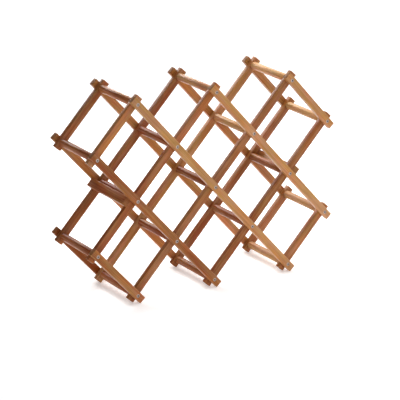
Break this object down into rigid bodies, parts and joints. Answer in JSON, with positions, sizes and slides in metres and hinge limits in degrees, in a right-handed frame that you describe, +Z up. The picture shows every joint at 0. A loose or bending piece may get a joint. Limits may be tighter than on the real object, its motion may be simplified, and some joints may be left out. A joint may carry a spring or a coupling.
{
  "type": "wine rack",
  "caption": "Folding lattice wine rack: crossed wooden slats at the front and the back, pivoted on round dowels, with open diamond cells that hold bottles on their sides.",
  "frame": {"origin": "on the floor, under the middle of the rack's width and depth", "axes": "+X to the right, +Y to the back, +Z up; the bottles' necks point to the front, towards -Y"},
  "size_m": [0.5164, 0.1472, 0.3847],
  "materials": {
    "slat_wood": "satin, warm brown, clear lacquered",
    "dowel_wood": "satin, warm brown, clear lacquered",
    "stop_wood": "satin, warm brown, clear lacquered",
    "screw_steel": "bright zinc plated"
  },
  "bodies": {
    "base": {"dowel_bottom_2": "dowel_wood", "front_base_screw": "screw_steel", "back_base_screw": "screw_steel"},
    "falling_1": {"front_falling_slat_1": "slat_wood", "back_falling_slat_1": "slat_wood", "dowel_lower_1": "dowel_wood", "dowel_bottom_1": "dowel_wood", "front_screws_1": "screw_steel", "back_screws_1": "screw_steel"},
    "falling_2": {"front_falling_slat_2": "slat_wood", "back_falling_slat_2": "slat_wood", "dowel_upper_1": "dowel_wood", "dowel_middle_1": "dowel_wood", "dowel_lower_2": "dowel_wood", "front_screws_2": "screw_steel", "back_screws_2": "screw_steel", "left_stop_bar": "stop_wood"},
    "falling_3": {"front_falling_slat_3": "slat_wood", "back_falling_slat_3": "slat_wood", "dowel_top_1": "dowel_wood", "dowel_upper_2": "dowel_wood", "dowel_middle_2": "dowel_wood", "dowel_lower_3": "dowel_wood", "dowel_bottom_3": "dowel_wood", "front_screws_3": "screw_steel", "back_screws_3": "screw_steel"},
    "falling_4": {"front_falling_slat_4": "slat_wood", "back_falling_slat_4": "slat_wood", "dowel_top_2": "dowel_wood", "dowel_upper_3": "dowel_wood", "dowel_middle_3": "dowel_wood", "dowel_lower_4": "dowel_wood", "front_screws_4": "screw_steel", "back_screws_4": "screw_steel", "right_stop_bar": "stop_wood"},
    "falling_5": {"front_falling_slat_5": "slat_wood", "back_falling_slat_5": "slat_wood", "dowel_top_3": "dowel_wood", "dowel_upper_4": "dowel_wood", "front_screws_5": "screw_steel", "back_screws_5": "screw_steel"},
    "rising_1": {"front_rising_slat_1": "slat_wood", "back_rising_slat_1": "slat_wood"},
    "rising_2": {"front_rising_slat_2": "slat_wood", "back_rising_slat_2": "slat_wood"},
    "rising_3": {"front_rising_slat_3": "slat_wood", "back_rising_slat_3": "slat_wood"},
    "rising_4": {"front_rising_slat_4": "slat_wood", "back_rising_slat_4": "slat_wood"},
    "rising_5": {"front_rising_slat_5": "slat_wood", "back_rising_slat_5": "slat_wood"}
  },
  "joints": [
    {"name": "fold", "type": "hinge", "parent": "base", "child": "falling_2", "pos_m": [0, 0, 0.01542], "axis": [0, 1, 0], "range_deg": [0, 27.5]},
    {"name": "fold_rising_4", "type": "hinge", "parent": "base", "child": "rising_4", "pos_m": [0, 0, 0.01542], "axis": [0, 1, 0], "range_deg": [-27.5, 0]},
    {"name": "fold_rising_1", "type": "hinge", "parent": "falling_2", "child": "rising_1", "pos_m": [-0.24321, 0, 0.28084], "axis": [0, 1, 0], "range_deg": [-55, 0]},
    {"name": "fold_rising_2", "type": "hinge", "parent": "falling_2", "child": "rising_2", "pos_m": [-0.16214, 0, 0.19237], "axis": [0, 1, 0], "range_deg": [-55, 0]},
    {"name": "fold_rising_3", "type": "hinge", "parent": "falling_2", "child": "rising_3", "pos_m": [-0.08107, 0, 0.10389], "axis": [0, 1, 0], "range_deg": [-55, 0]},
    {"name": "fold_falling_3", "type": "hinge", "parent": "rising_4", "child": "falling_3", "pos_m": [0.08107, 0, 0.10389], "axis": [0, 1, 0], "range_deg": [0, 55]},
    {"name": "fold_falling_4", "type": "hinge", "parent": "rising_4", "child": "falling_4", "pos_m": [0.16214, 0, 0.19237], "axis": [0, 1, 0], "range_deg": [0, 55]},
    {"name": "fold_falling_5", "type": "hinge", "parent": "rising_4", "child": "falling_5", "pos_m": [0.24321, 0, 0.28084], "axis": [0, 1, 0], "range_deg": [0, 55]},
    {"name": "fold_falling_1", "type": "hinge", "parent": "rising_3", "child": "falling_1", "pos_m": [-0.16214, 0, 0.01542], "axis": [0, 1, 0], "range_deg": [0, 55]},
    {"name": "fold_rising_5", "type": "hinge", "parent": "falling_3", "child": "rising_5", "pos_m": [0.16214, 0, 0.01542], "axis": [0, 1, 0], "range_deg": [-55, 0]}
  ],
  "couplings": [
    {"joint": "fold_rising_4", "follows": "fold", "ratio": -1},
    {"joint": "fold_rising_1", "follows": "fold", "ratio": -2},
    {"joint": "fold_rising_2", "follows": "fold", "ratio": -2},
    {"joint": "fold_rising_3", "follows": "fold", "ratio": -2},
    {"joint": "fold_falling_3", "follows": "fold", "ratio": 2},
    {"joint": "fold_falling_4", "follows": "fold", "ratio": 2},
    {"joint": "fold_falling_5", "follows": "fold", "ratio": 2},
    {"joint": "fold_falling_1", "follows": "fold", "ratio": 2},
    {"joint": "fold_rising_5", "follows": "fold", "ratio": -2}
  ]
}
